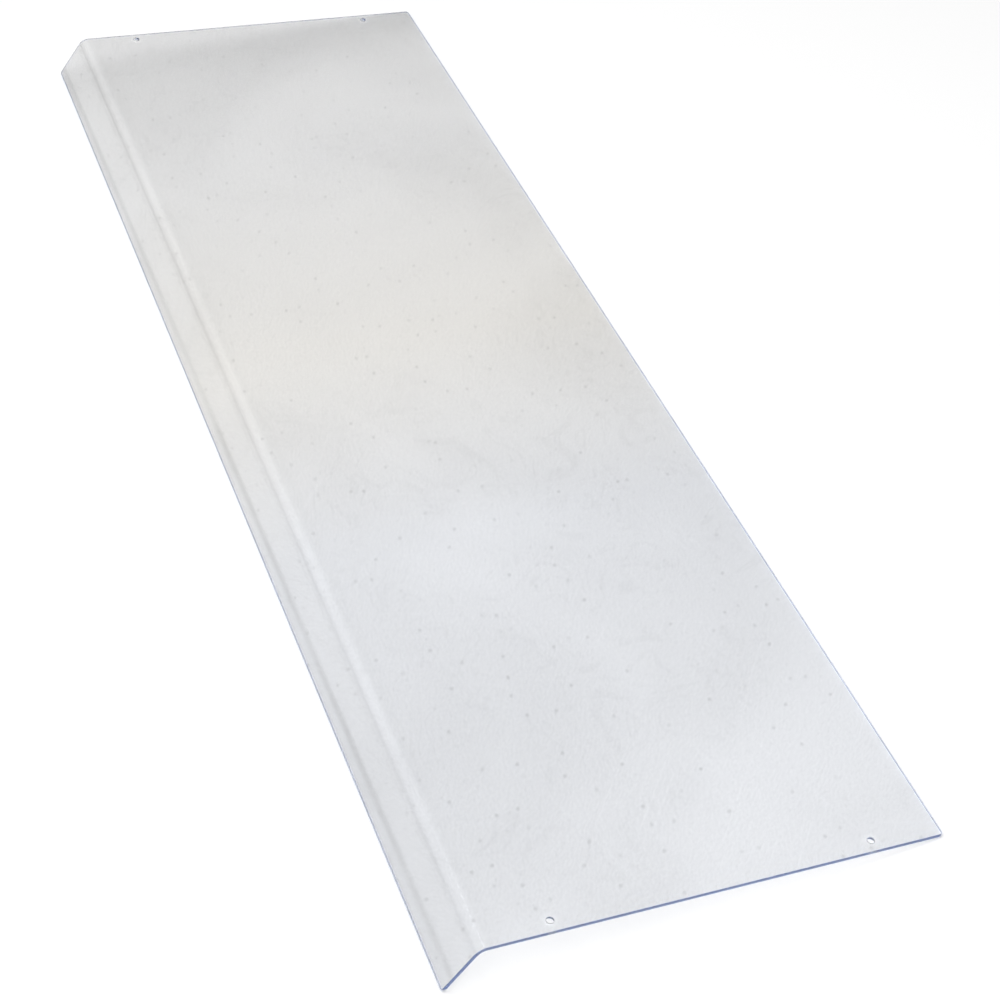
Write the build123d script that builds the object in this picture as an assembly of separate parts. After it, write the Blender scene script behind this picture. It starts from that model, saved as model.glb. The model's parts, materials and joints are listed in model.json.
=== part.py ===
from build123d import *
from math import atan2, cos, degrees, radians, sin
import os

# Clear guard panel of a buffet or food bar: one sheet of polycarbonate, with a lip bent down along
# its front long edge and four plain screw holes, two beside each short end.
# +X runs along the length, the lip is at the front (-Y) and +Z is up. The panel lies as it rests on
# a counter, on the lip's free edge and on its back edge, so that the flat part slopes to the back.
# The origin is the bottom centre of its box. Sizes are in millimetres and degrees.

# Driving dimensions
sheet_length = 1219.2        # along the long edges
sheet_thickness = 3.2
panel_depth = 370.0          # flat part, from the bend's sharp corner on the outer face to the back edge
lip_depth = 45.5             # lip, from the same sharp corner to its free edge
bend_angle = 58.0            # how far the lip turns down out of the panel's plane
bend_inner_radius = 9.0
corner_radius = 3.0          # the sheet's four corners
edge_chamfer = 0.4           # scraped edges all round the outline
hole_diameter = 6.4
hole_to_end = 10.0           # every hole's centre to the nearer short end
hole_to_bend_corner = 56.5   # front holes' centres to the bend's sharp corner
hole_to_back_edge = 56.5     # rear holes' centres to the back edge
hole_chamfer = 0.2           # both mouths of every hole, deburred

match_tolerance = 0.001      # for finding an edge by its length or radius

# The section across the sheet, in its own plane: the bend's sharp outer corner is at (0, 0), the
# flat part runs from it along the first axis, and the lip turns down from it
lip_direction = Vector(-cos(radians(bend_angle)), -sin(radians(bend_angle)))
lip_inward = Vector(sin(radians(bend_angle)), -cos(radians(bend_angle)))
lip_free_corner = lip_direction * lip_depth
bend_outer_radius = bend_inner_radius + sheet_thickness


def slope_from(front_corner):
    """The slope at which the section lies on this corner of the lip and on the back edge."""
    back_corner = Vector(panel_depth - edge_chamfer, -sheet_thickness)
    span = back_corner - front_corner
    return degrees(atan2(span.Y, span.X))


# The lip's scraped edge has two corners, and the panel rests on whichever of them is lower
rest_slope = max(
    slope_from(lip_direction * (lip_depth - edge_chamfer) + lip_inward * sheet_thickness),
    slope_from(lip_direction * lip_depth + lip_inward * (sheet_thickness - edge_chamfer)),
)


def bent_sheet():
    """The sheet with rounded corners and scraped edges, its flat part level with its top at Z = 0."""
    outer_face = FilletPolyline(lip_free_corner, (0, 0), (panel_depth, 0), radius=bend_outer_radius)
    section = make_face(offset(outer_face, sheet_thickness, side=Side.RIGHT))
    sheet = extrude(Plane.YZ * section, sheet_length / 2, both=True)
    corners = sheet.edges().filter_by(
        lambda edge: abs(edge.length - sheet_thickness) < match_tolerance
    )
    sheet = fillet(corners, corner_radius)
    # No face of the rim is as large as a strip of the sheet's full length and thickness
    broad_faces = sheet.faces().filter_by(lambda face: face.area > sheet_length * sheet_thickness)
    rim_faces = sheet.faces() - broad_faces
    outline = rim_faces.edges() & broad_faces.edges()
    return chamfer(outline, edge_chamfer)


def drill_holes(sheet):
    """Four round holes square through the flat part, with deburred mouths."""
    hole_radius = hole_diameter / 2
    end_x = sheet_length / 2 - hole_to_end
    for x in (-end_x, end_x):
        for y in (hole_to_bend_corner, panel_depth - hole_to_back_edge):
            sheet -= Pos(x, y, -sheet_thickness / 2) * Cylinder(hole_radius, 2 * sheet_thickness)
    mouths = sheet.edges().filter_by(GeomType.CIRCLE).filter_by(
        lambda edge: abs(edge.radius - hole_radius) < match_tolerance
    )
    return chamfer(mouths, hole_chamfer)


def lay_down(sheet):
    """The sheet resting on its two long edges, with the bottom centre of its box at the origin."""
    resting = Rot(-rest_slope, 0, 0) * sheet
    box = resting.bounding_box()
    return Pos(-box.center().X, -box.center().Y, -box.min.Z) * resting


guard_panel = lay_down(drill_holes(bent_sheet()))
guard_panel.label = "guard_panel"

os.makedirs("parts", exist_ok=True)
export_step(guard_panel, "parts/guard_panel.step")
print(f"guard_panel: {guard_panel.volume / 1000:.1f} cm3, rests at a slope of {rest_slope:.2f} degrees")
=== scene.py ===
import json
import math

import bmesh
import bpy
from mathutils import Matrix, Vector


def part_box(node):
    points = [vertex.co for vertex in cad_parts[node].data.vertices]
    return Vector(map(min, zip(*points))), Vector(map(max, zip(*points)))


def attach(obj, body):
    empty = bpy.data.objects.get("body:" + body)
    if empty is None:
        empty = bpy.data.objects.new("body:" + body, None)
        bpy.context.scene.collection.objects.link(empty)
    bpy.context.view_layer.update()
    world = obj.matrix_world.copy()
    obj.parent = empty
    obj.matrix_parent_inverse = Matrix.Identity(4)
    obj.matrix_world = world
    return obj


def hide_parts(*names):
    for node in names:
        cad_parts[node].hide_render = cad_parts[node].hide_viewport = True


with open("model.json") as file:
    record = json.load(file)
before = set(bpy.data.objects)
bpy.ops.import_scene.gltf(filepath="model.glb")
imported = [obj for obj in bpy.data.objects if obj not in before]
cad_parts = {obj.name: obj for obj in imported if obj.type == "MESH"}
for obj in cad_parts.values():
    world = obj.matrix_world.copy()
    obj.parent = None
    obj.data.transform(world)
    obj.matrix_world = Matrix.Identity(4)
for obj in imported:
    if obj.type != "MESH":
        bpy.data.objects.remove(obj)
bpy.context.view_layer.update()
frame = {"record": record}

mm = 0.001


def hexToLinear(code):
    values = [int(code[i:i + 2], 16) / 255 for i in (1, 3, 5)]
    return [v / 12.92 if v <= 0.04045 else ((v + 0.055) / 1.055) ** 2.4 for v in values]


def addNode(tree, kind, settings):
    # a value that is a node or another node's socket is linked, anything else is set
    node = tree.nodes.new("ShaderNode" + kind)
    for name, value in settings.items():
        if isinstance(value, bpy.types.Node):
            value = value.outputs[0]
        if isinstance(value, bpy.types.NodeSocket):
            tree.links.new(value, node.inputs[name])
        elif isinstance(name, int) or name in node.inputs:
            node.inputs[name].default_value = value
        else:
            setattr(node, name, value)
    return node


def evenSteps(start, end, count):
    return [start + (end - start) * i / count for i in range(count + 1)]


# The panel is one sheet bent once, so it is laid out flat first and folded afterwards.
# Lengths are in millimetres, and the place across the sheet counts from the lip's free edge,
# along the face that ends up on top
panelSettings = {
    "thickness": 3.2,
    "lipDepth": 45.5,        # free edge to the bend's sharp corner
    "panelDepth": 370.0,     # the bend's sharp corner to the back edge
    "bendAngle": 58.0,
    "bendInnerRadius": 9.0,
    "cornerRadius": 3.0,
    "edgeChamfer": 0.4,
    "holeChamfer": 0.2,
    "lipSteps": 3,
    "bendSteps": 28,
    "depthSteps": 12,
    "lengthSteps": 40,
    "cornerSteps": 8,
    "holeSteps": 48,         # a multiple of 4
    "holeCell": 12.0,        # side of the square of sheet round each hole
}


def foldLines(shape):
    # where the lip ends, where the flat part starts, and the bend's sharp corner to either
    bend = math.radians(shape["bendAngle"])
    outer = shape["bendInnerRadius"] + shape["thickness"]
    setback = outer * math.tan(bend / 2)
    lipEnd = shape["lipDepth"] - setback
    return lipEnd, lipEnd + outer * bend, setback


def foldedPoint(x, across, inward, shape):
    # y counts back from the bend's sharp corner and z up from the flat part's top face
    bend = math.radians(shape["bendAngle"])
    outer = shape["bendInnerRadius"] + shape["thickness"]
    lipEnd, flatStart, setback = foldLines(shape)
    if across >= flatStart:
        return Vector((x, setback + across - flatStart, -inward))
    turned = min((flatStart - across) / outer, bend)
    y = setback - (outer - inward) * math.sin(turned)
    z = (outer - inward) * math.cos(turned) - outer
    over = max(lipEnd - across, 0)
    return Vector((x, y - over * math.cos(bend), z - over * math.sin(bend)))


def arcPoints(centre, radius, start, end, count):
    angles = evenSteps(math.radians(start), math.radians(end), count)
    return [(centre[0] + radius * math.cos(a), centre[1] + radius * math.sin(a)) for a in angles]


def gridLines(values):
    # sorted, without the ones that fall together
    kept = []
    for value in sorted(values):
        if not kept or value - kept[-1] > 0.01:
            kept.append(value)
    return kept


def makePanelMesh(shape, holes, length):
    lipEnd, flatStart, setback = foldLines(shape)
    backEdge = flatStart + shape["panelDepth"] - setback
    half, corner, cell = length / 2, shape["cornerRadius"], shape["holeCell"] / 2

    lengthwise = {-half, half, corner - half, half - corner}
    lengthwise |= {x + side for x, across in holes for side in (-cell, cell)}
    inner = max(x for x in lengthwise if x < half - 1.2 * cell)
    columns = gridLines(lengthwise | set(evenSteps(-inner, inner, shape["lengthSteps"])))
    crosswise = {0, backEdge, backEdge - corner}
    crosswise |= {across + side for x, across in holes for side in (-cell, cell)}
    crosswise |= set(evenSteps(corner, lipEnd, shape["lipSteps"]))
    crosswise |= set(evenSteps(lipEnd, flatStart, shape["bendSteps"]))
    firstRow, lastRow = min(a for x, a in holes), max(a for x, a in holes)
    crosswise |= set(evenSteps(firstRow + cell, lastRow - cell, shape["depthSteps"]))
    rows = gridLines(crosswise)

    bm = bmesh.new()
    flatMap = bm.loops.layers.uv.new("flat")
    rimLayer = bm.faces.layers.float.new("rim")
    made = {}

    def vert(x, across, side):
        key = (round(x, 3), round(across, 3), side)
        if key not in made:
            made[key] = bm.verts.new(foldedPoint(x, across, side * shape["thickness"], shape))
        return made[key]

    def facePair(points):
        for side in (0, 1):
            order = points if side == 0 else points[::-1]
            face = bm.faces.new([vert(x, across, side) for x, across in order])
            for loop, (x, across) in zip(face.loops, order):
                loop[flatMap].uv = (x * mm, across * mm)

    for i, (x0, x1) in enumerate(zip(columns, columns[1:])):
        for j, (a0, a1) in enumerate(zip(rows, rows[1:])):
            middle = ((x0 + x1) / 2, (a0 + a1) / 2)
            hole = [h for h in holes if math.dist(h, middle) < 1]
            if i in (0, len(columns) - 2) and j in (0, len(rows) - 2):
                left, front = i == 0, j == 0
                start = {(True, True): 180, (False, True): 270, (False, False): 0, (True, False): 90}
                first = start[(left, front)]
                centre = (x1 if left else x0, a1 if front else a0)
                rounded = arcPoints(centre, corner, first, first + 90, shape["cornerSteps"])
                for p, q in zip(rounded, rounded[1:]):
                    facePair([centre, p, q])
            elif hole:
                square = [(x1, a0), (x1, a1), (x0, a1), (x0, a0)]
                for k in range(4):
                    rounded = arcPoints(hole[0], shape["holeRadius"], 90 * k - 45, 90 * k + 45,
                                        shape["holeSteps"] // 4)
                    facePair([square[k], square[(k + 1) % 4]] + rounded[::-1])
            else:
                facePair([(x0, a0), (x1, a0), (x1, a1), (x0, a1)])

    # walls between the two faces, all round and in the holes
    twin = {v: made[(x, across, 1)] for (x, across, side), v in made.items() if side == 0}
    for edge in [e for e in bm.edges if len(e.link_faces) == 1 and e.verts[0] in twin]:
        loop = edge.link_loops[0]
        a, b = loop.vert, loop.link_loop_next.vert
        wall = bm.faces.new([b, a, twin[a], twin[b]])
        wall[rimLayer] = 1
        for wallLoop, source in zip(wall.loops, (loop.link_loop_next, loop, loop, loop.link_loop_next)):
            wallLoop[flatMap].uv = source[flatMap].uv

    def nearHole(edge):
        middle = (edge.verts[0].co + edge.verts[1].co) / 2
        return any((middle - foldedPoint(x, across, 0, shape)).length < cell for x, across in holes)

    for width, atHoles in ((shape["holeChamfer"], True), (shape["edgeChamfer"], False)):
        sharp = [e for e in bm.edges if len(e.link_faces) == 2 and e.calc_face_angle() > 1.2
                 and {f[rimLayer] for f in e.link_faces} == {0, 1} and nearHole(e) == atHoles]
        bevel = bmesh.ops.bevel(bm, geom=sharp, offset=width, offset_type="OFFSET", segments=2,
                                profile=0.6, affect="EDGES", clamp_overlap=False)
        for face in bevel["faces"]:
            face[rimLayer] = 1
    bm.transform(Matrix.Scale(mm, 4))
    for face in bm.faces:
        face.smooth = True
    mesh = bpy.data.meshes.new("guardPanel")
    bm.to_mesh(mesh)
    bm.free()
    return mesh


# Clear extruded polycarbonate: glass-clear and glossy, a little denser to light than glass, with a
# blue cast that only shows at the sawn edges, where light has come a long way inside the sheet.
# Use has left it slightly grey: wiped clouds, drying marks, specks and hairline scratches
# Some of the tone is painted light and shade: the darker lip and left end, the dark and light lines along the
# lip and bend, and the paler discs round the holes
polycarbonateSettings = {
    # tint at places along the sheet, in metres from its middle
    "tints": [(-0.35, "#F1F1F1"), (-0.05, "#F1F0EE"), (0.2, "#EFF0F2"), (0.6, "#F0F1F3")],
    "edgeTint": "#CDD5EA",
    "drilledTint": "#FFFFFF",
    "ior": 1.585,
    "sawnRoughness": 0.10,
    "absorbedColour": (0.45, 0.60, 0.85),
    "absorption": 1.6,       # per metre
    "cloudSize": 260, "cloudShade": (0.978, 1.015),      # wiped patches, mm
    "arcSize": 70, "arcShade": 0.03,                     # arcs left by a cloth, mm
    "grainSize": 2.0, "grainShade": (0.973, 1.022),      # dust, coarser than real so that it shows, mm
    "specks": [(21, 2.2, 0.15), (9, 1.2, 0.07)],         # spacing mm, radius mm, darkest
    "scratches": [(20, 120), (75, 60), (140, 90)],       # direction in degrees, length mm
    "scratchWidth": 1.1,     # far wider than a real 0.1 mm scratch, so that it shows, mm
    "scratchShade": 0.03, "scratchRoughness": 0.15,
    "sawMark": 5.0, "sawShade": (0.85, 1.12),            # coarser than real so that it shows, mm
    "lipPaintedShade": 0.95,         # painted shade: the lip darker than the flat part, as it meets the light and the view at a steeper angle
    "leftEndPaintedShade": 0.95, "leftEndDepth": 120,            # painted shade: the left end darker, mm
    "greyPatchPlace": (450, 70), "greyPatchRadius": 240, "greyPatchShade": 0.955,    # a greyer patch near the right-hand end by the bend, mm
    "holeLightRadius": 7.5, "holeLightShade": 1.05,            # painted light: a paler disc round each hole, mm
    # lines along the sheet: place across mm, half width mm, strength, and drift across per length
    # painted shadow: a soft dark line just inside the lip's free edge
    "lipShadowLine": (9.5, 5.0, -0.12, 0.0055),
    # painted highlight, then painted shade, along the bend
    "bendGleam": (44.5, 10.0, 0.055),
    "bendShadow": (56.0, 8.0, -0.012),
    "bendStreakShade": (46.0, 20.0, 0.04),                   # painted light and shade: fine light and dark streaks along the bend, for its optical distortion
    "bendHaze": (45.0, 9.0, 0.04),                       # as roughness
    "bendRipple": (46.0, 14.0, 0.10),                    # as height, mm
}


def makePolycarbonate(look, shape, holes, length):
    material = bpy.data.materials.new("clearExtrudedPolycarbonate")
    material.use_nodes = True
    tree = material.node_tree
    tree.nodes.clear()
    rim = addNode(tree, "Attribute", {"attribute_name": "rim"}).outputs["Fac"]
    flat = addNode(tree, "UVMap", {"uv_map": "flat"})
    place = addNode(tree, "SeparateXYZ", {0: flat})
    along, across = place.outputs["X"], place.outputs["Y"]
    soft = {"interpolation_type": "SMOOTHSTEP"}
    flatNoise = {"noise_dimensions": "2D", "Vector": flat}

    def lineAlong(where, halfWidth, strength, drift=0.0):
        line = addNode(tree, "Math", {"operation": "MULTIPLY_ADD", 0: along, 1: drift, 2: where * mm})
        offset = addNode(tree, "Math", {"operation": "SUBTRACT", 0: across, 1: line})
        away = addNode(tree, "Math", {"operation": "ABSOLUTE", 0: offset})
        return addNode(tree, "MapRange", {**soft, "Value": away, "From Min": 0.0, "From Max": halfWidth * mm,
                                          "To Min": strength, "To Max": 0.0})

    clouds = addNode(tree, "TexNoise", {**flatNoise, "Scale": 1000 / look["cloudSize"], "Detail": 5.0,
                                        "Distortion": 0.6})
    low, high = look["cloudShade"]
    shades = [addNode(tree, "MapRange", {**soft, "Value": clouds, "From Min": 0.3, "From Max": 0.7,
                                         "To Min": low, "To Max": high})]

    # arcs: one height of a slow noise drawn as a soft line, fading in and out with the clouds
    swirls = addNode(tree, "TexNoise", {**flatNoise, "Scale": 1000 / look["arcSize"], "Detail": 2.0,
                                        "Distortion": 1.6})
    ridges = addNode(tree, "Math", {"operation": "PINGPONG", 0: swirls, 1: 0.12})
    arcs = addNode(tree, "MapRange", {**soft, "Value": ridges, "From Min": 0.09, "From Max": 0.12,
                                      "To Min": 0.0, "To Max": 1.0})
    arcStrength = addNode(tree, "MapRange", {**soft, "Value": clouds, "From Min": 0.45, "From Max": 0.62,
                                             "To Min": look["arcShade"], "To Max": 0.0})
    fadedArcs = addNode(tree, "Math", {"operation": "MULTIPLY", 0: arcs, 1: arcStrength})
    shades.append(addNode(tree, "Math", {"operation": "SUBTRACT", 0: 1.0, 1: fadedArcs}))

    grain = addNode(tree, "TexNoise", {**flatNoise, "Scale": 1000 / look["grainSize"], "Detail": 2.0})
    low, high = look["grainShade"]
    shades.append(addNode(tree, "MapRange", {**soft, "Value": grain, "From Min": 0.38, "From Max": 0.62,
                                             "To Min": low, "To Max": high}))

    for spacing, radius, darkest in look["specks"]:
        cells = addNode(tree, "TexVoronoi", {"voronoi_dimensions": "2D", "Scale": 1000 / spacing,
                                             "Vector": flat})
        spots = addNode(tree, "MapRange", {**soft, "Value": cells, "From Min": 0.4 * radius / spacing,
                                           "From Max": radius / spacing, "To Min": 1.0, "To Max": 0.0})
        drawn = addNode(tree, "SeparateColor", {0: cells.outputs["Color"]})
        darkness = addNode(tree, "MapRange", {**soft, "Value": drawn, "From Min": 0.4, "From Max": 1.0,
                                              "To Min": 0.0, "To Max": darkest})
        specks = addNode(tree, "Math", {"operation": "MULTIPLY", 0: spots, 1: darkness})
        shades.append(addNode(tree, "Math", {"operation": "SUBTRACT", 0: 1.0, 1: specks}))

    scratches = None
    for direction, span in look["scratches"]:
        turned = addNode(tree, "Mapping", {
            "vector_type": "TEXTURE", "Rotation": (0, 0, math.radians(direction)),
            "Scale": (span * mm, look["scratchWidth"] * mm, 1), "Vector": flat})
        threads = addNode(tree, "TexNoise", {"noise_dimensions": "2D", "Scale": 0.5, "Detail": 0.0,
                                             "Vector": turned})
        lines = addNode(tree, "MapRange", {**soft, "Value": threads, "From Min": 0.80, "From Max": 0.90,
                                           "To Min": 0.0, "To Max": 1.0})
        scratches = addNode(tree, "Math", {"operation": "MAXIMUM", 0: scratches, 1: lines}) \
            if scratches else lines
    shades.append(addNode(tree, "Math", {"operation": "MULTIPLY_ADD", 0: scratches,
                                         1: look["scratchShade"], 2: 1.0}))

    lipEnd, flatStart, setback = foldLines(shape)
    # painted shade: the lip darker than the flat part
    shades.append(addNode(tree, "MapRange", {**soft, "Value": across, "From Min": lipEnd * mm,
                                             "From Max": flatStart * mm, "To Min": look["lipPaintedShade"],
                                             "To Max": 1.0}))
    leftEnd = -length / 2 * mm
    # painted shade: darker towards the left end
    shades.append(addNode(tree, "MapRange", {**soft, "Value": along, "From Min": leftEnd,
                                             "From Max": leftEnd + look["leftEndDepth"] * mm,
                                             "To Min": look["leftEndPaintedShade"], "To Max": 1.0}))

    # the painted shadow and highlight lines that run along the sheet come and go
    uneven = addNode(tree, "TexNoise", {"noise_dimensions": "1D", "Scale": 4.0, "Detail": 3.0, "W": along})
    comesAndGoes = addNode(tree, "MapRange", {**soft, "Value": uneven, "From Min": 0.3, "From Max": 0.7,
                                              "To Min": 0.55, "To Max": 1.3})
    for name in ("lipShadowLine", "bendGleam", "bendShadow"):
        shades.append(addNode(tree, "Math", {"operation": "MULTIPLY_ADD", 0: comesAndGoes,
                                             1: lineAlong(*look[name]), 2: 1.0}))

    # painted light and shade: fine streaks along the bend
    stretched = addNode(tree, "Mapping", {"Scale": (12, 500, 1), "Vector": flat})
    drawnOut = addNode(tree, "TexNoise", {"noise_dimensions": "2D", "Scale": 1.0, "Detail": 2.0,
                                          "Vector": stretched})
    streaks = addNode(tree, "Math", {"operation": "SUBTRACT", 0: drawnOut, 1: 0.5})
    shades.append(addNode(tree, "Math", {"operation": "MULTIPLY_ADD", 0: streaks,
                                         1: lineAlong(*look["bendStreakShade"]), 2: 1.0}))

    # distance to the nearest hole, with the sheet's four quarters folded onto one
    rows = [row for x, row in holes]
    halfGap = (max(rows) - min(rows)) / 2
    fromMiddle = addNode(tree, "Math", {"operation": "SUBTRACT", 0: across,
                                        1: (min(rows) + halfGap) * mm})
    quarter = addNode(tree, "CombineXYZ", {0: addNode(tree, "Math", {"operation": "ABSOLUTE", 0: along}),
                                           1: addNode(tree, "Math", {"operation": "ABSOLUTE",
                                                                     0: fromMiddle})})
    toHole = addNode(tree, "VectorMath", {"operation": "DISTANCE", 0: quarter,
                                          1: (abs(holes[0][0]) * mm, halfGap * mm, 0)}).outputs["Value"]
    # painted light: paler round each hole
    holeLight = look["holeLightRadius"] * mm
    shades.append(addNode(tree, "MapRange", {**soft, "Value": toHole, "From Min": 0.6 * holeLight,
                                             "From Max": holeLight, "To Min": look["holeLightShade"],
                                             "To Max": 1.0}))

    # a greyer patch near the right-hand end by the bend
    patchX, patchAcross = look["greyPatchPlace"]
    toGreyPatch = addNode(tree, "VectorMath", {"operation": "DISTANCE", 0: flat,
                                           1: (patchX * mm, patchAcross * mm, 0)}).outputs["Value"]
    shades.append(addNode(tree, "MapRange", {**soft, "Value": toGreyPatch, "From Min": 0.0,
                                             "From Max": look["greyPatchRadius"] * mm,
                                             "To Min": look["greyPatchShade"], "To Max": 1.0}))

    shade = shades[0]
    for other in shades[1:]:
        shade = addNode(tree, "Math", {"operation": "MULTIPLY", 0: shade, 1: other})
    half = length / 2 * mm
    alongShare = addNode(tree, "MapRange", {"Value": along, "From Min": -half, "From Max": half})
    ramp = addNode(tree, "ValToRGB", {0: alongShare})
    for i, (x, tint) in enumerate(look["tints"]):
        stop = ramp.color_ramp.elements[i] if i < 2 else ramp.color_ramp.elements.new(1.0)
        stop.position = (x + half) / (2 * half)
        stop.color = (*hexToLinear(tint), 1)
    faces = addNode(tree, "VectorMath", {"operation": "SCALE", 0: ramp, "Scale": shade})

    # the edges keep their saw marks, and the drill left the holes clearer
    solid = addNode(tree, "TexCoord", {}).outputs["Object"]
    saw = addNode(tree, "TexNoise", {"Scale": 1000 / look["sawMark"], "Detail": 3.0, "Vector": solid})
    low, high = look["sawShade"]
    sawShade = addNode(tree, "MapRange", {**soft, "Value": saw, "From Min": 0.3, "From Max": 0.7,
                                          "To Min": low, "To Max": high})
    drilled = addNode(tree, "MapRange", {**soft, "Value": toHole, "From Min": 1.25 * shape["holeRadius"] * mm,
                                         "From Max": 1.4 * shape["holeRadius"] * mm,
                                         "To Min": 1.0, "To Max": 0.0})
    cut = addNode(tree, "Mix", {"data_type": "RGBA", 0: drilled, 6: (*hexToLinear(look["edgeTint"]), 1),
                                7: (*hexToLinear(look["drilledTint"]), 1)}).outputs[2]
    edges = addNode(tree, "VectorMath", {"operation": "SCALE", 0: cut, "Scale": sawShade})
    colour = addNode(tree, "Mix", {"data_type": "RGBA", 0: rim, 6: faces, 7: edges}).outputs[2]

    softened = addNode(tree, "Math", {"operation": "MULTIPLY_ADD", 0: scratches,
                                      1: look["scratchRoughness"], 2: lineAlong(*look["bendHaze"])})
    roughness = addNode(tree, "Mix", {"data_type": "FLOAT", 0: rim, 2: softened,
                                      3: look["sawnRoughness"]})
    rippled = addNode(tree, "Mapping", {"Scale": (110, 160, 1), "Vector": flat})
    ripples = addNode(tree, "TexNoise", {"noise_dimensions": "2D", "Scale": 1.0, "Detail": 2.0,
                                         "Vector": rippled})
    rippleHeight = addNode(tree, "Math", {"operation": "MULTIPLY", 0: ripples,
                                          1: lineAlong(*look["bendRipple"])})
    bump = addNode(tree, "Bump", {"Strength": 1.0, "Distance": mm, "Height": rippleHeight})

    shader = addNode(tree, "BsdfPrincipled", {"IOR": look["ior"], "Transmission Weight": 1.0,
                                              "Base Color": colour, "Roughness": roughness,
                                              "Normal": bump})
    inside = addNode(tree, "VolumeAbsorption", {"Color": (*look["absorbedColour"], 1),
                                                "Density": look["absorption"]})
    addNode(tree, "OutputMaterial", {"Surface": shader, "Volume": inside})
    return material


def makePanel(shape, look):
    # sizes the frame knows come from it: length, slope, holes and place
    low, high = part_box("guard_panel")
    mounts = {mount["name"]: mount for mount in frame["record"]["mounts"]}
    holePair = mounts["right_end_screw_holes"]
    up = Vector(holePair["axis"]).normalized()
    slope = math.atan2(up.y, up.z)
    length = (high.x - low.x) / mm
    shape["holeRadius"] = holePair["dims"]["hole_r_mm"]

    # the holes' middle is half-way through the sheet, and the back edge is scraped
    fromBack = (high.y - holePair["pos_m"][1]) / mm
    fromBack += (shape["edgeChamfer"] - shape["thickness"] / 2) * math.sin(slope)
    lipEnd, flatStart, setback = foldLines(shape)
    middle = flatStart - setback + shape["panelDepth"] - fromBack / math.cos(slope)
    endX, halfGap = holePair["pos_m"][0] / mm, holePair["dims"]["pcd_mm"] / 2
    holes = [(side * endX, middle + row * halfGap) for side in (-1, 1) for row in (-1, 1)]

    mesh = makePanelMesh(shape, holes, length)
    mesh.transform(Matrix.Rotation(-slope, 4, "X"))
    ys = [v.co.y for v in mesh.vertices]
    zs = [v.co.z for v in mesh.vertices]
    mesh.transform(Matrix.Translation(((high.x + low.x) / 2, (high.y + low.y - max(ys) - min(ys)) / 2,
                                       low.z - min(zs))))
    mesh.materials.append(makePolycarbonate(look, shape, holes, length))
    panel = bpy.data.objects.new("guardPanel", mesh)
    bpy.context.scene.collection.objects.link(panel)
    weighted = panel.modifiers.new("weightedNormals", "WEIGHTED_NORMAL")
    weighted.keep_sharp = True
    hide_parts("guard_panel")
    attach(panel, "root")
    print("panel built,", len(mesh.polygons), "faces")
    return low.z


# White seamless paper: matt, no gloss, so that it only shows soft shadows
floorSettings = {
    "halfSize": 60,
    "gap": 0.0001,           # below the panel, metres
    "colour": "#F3F3F3",
    "roughness": 0.9,
}


def makeFloor(look, height):
    half = look["halfSize"]
    mesh = bpy.data.meshes.new("floor")
    mesh.from_pydata([(-half, -half, 0), (half, -half, 0), (half, half, 0), (-half, half, 0)], [],
                     [(0, 1, 2, 3)])
    floor = bpy.data.objects.new("floor", mesh)
    bpy.context.scene.collection.objects.link(floor)
    paper = bpy.data.materials.new("whitePaperRoll")
    paper.use_nodes = True
    shader = paper.node_tree.nodes["Principled BSDF"]
    shader.inputs["Base Color"].default_value = (*hexToLinear(look["colour"]), 1)
    shader.inputs["Roughness"].default_value = look["roughness"]
    shader.inputs["Specular IOR Level"].default_value = 0.0
    mesh.materials.append(paper)
    floor.location.z = height - look["gap"]
    print("floor laid")


lightSettings = {
    # the surroundings: bright overhead and towards the front, dark low down and behind
    "upward": (0.0, -0.3, 1.0),
    "darkBelow": 0.3, "brightAbove": 0.85,
    "dark": 0.15, "bright": 0.8,
    # the softbox overhead, metres and watts
    "power": 90, "size": 3.2, "place": (0.4, -0.6, 3.2), "aim": (0.1, 0, 0),
}


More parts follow.
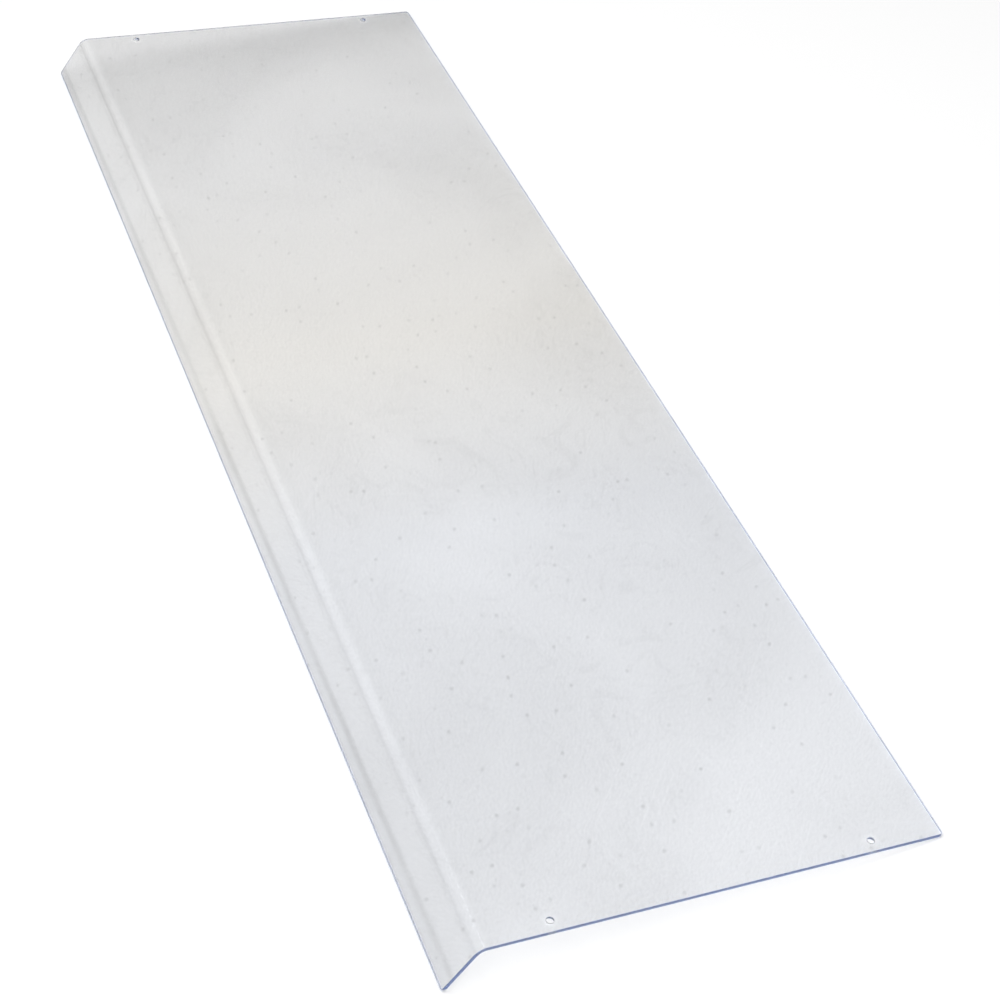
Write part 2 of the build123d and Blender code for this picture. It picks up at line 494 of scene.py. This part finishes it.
def makeLight(scene, look):
    world = bpy.data.worlds.new("studio")
    scene.world = world
    world.use_nodes = True
    tree = world.node_tree
    direction = addNode(tree, "TexCoord", {}).outputs["Generated"]
    height = addNode(tree, "VectorMath", {"operation": "DOT_PRODUCT", 0: direction,
                                          1: look["upward"]}).outputs["Value"]
    glow = addNode(tree, "MapRange", {"interpolation_type": "SMOOTHSTEP", "Value": height,
                                      "From Min": look["darkBelow"], "From Max": look["brightAbove"],
                                      "To Min": look["dark"], "To Max": look["bright"]})
    tree.links.new(glow.outputs[0], tree.nodes["Background"].inputs["Color"])

    softbox = bpy.data.lights.new("softbox", "AREA")
    softbox.shape = "SQUARE"
    softbox.size = look["size"]
    softbox.energy = look["power"]
    light = bpy.data.objects.new("softbox", softbox)
    light.location = look["place"]
    light.rotation_euler = (Vector(look["aim"]) - light.location).to_track_quat("-Z", "Y").to_euler()
    # this hides the softbox from the sheet's top face only, so from above the underside still mirrors it
    light.visible_glossy = False
    scene.collection.objects.link(light)
    print("light set")


cameraSettings = {
    "aim": (0.16524, 0.01488, 0.0),
    "distance": 1.7941,
    "around": 67.61,         # degrees from straight in front, towards the right-hand end
    "above": 44.01,
    "roll": 2.226,
    "lens": 75.02,
    "sensor": 36,
}


def makeCamera(scene, look):
    lens = bpy.data.cameras.new("camera")
    lens.lens = look["lens"]
    lens.sensor_width = look["sensor"]
    camera = bpy.data.objects.new("camera", lens)
    around, above = math.radians(look["around"]), math.radians(look["above"])
    back = Vector((math.sin(around) * math.cos(above), -math.cos(around) * math.cos(above),
                   math.sin(above)))
    camera.location = Vector(look["aim"]) + back * look["distance"]
    turn = (-back).to_track_quat("-Z", "Y").to_matrix().to_4x4()
    roll = Matrix.Rotation(math.radians(look["roll"]), 4, "Z")
    camera.rotation_euler = (turn @ roll).to_euler()
    scene.collection.objects.link(camera)
    scene.camera = camera
    print("camera placed")


scene = bpy.context.scene
lowest = makePanel(panelSettings, polycarbonateSettings)
makeFloor(floorSettings, lowest)
makeLight(scene, lightSettings)
makeCamera(scene, cameraSettings)

lightBounces = 600                   # the edges' blue comes from light trapped inside the sheet
scene.view_settings.view_transform = "Standard"
scene.cycles.blur_glossy = 0.0       # the default blurs clear sheets until they swallow light
scene.cycles.max_bounces = lightBounces
scene.cycles.glossy_bounces = lightBounces
scene.cycles.transmission_bounces = lightBounces
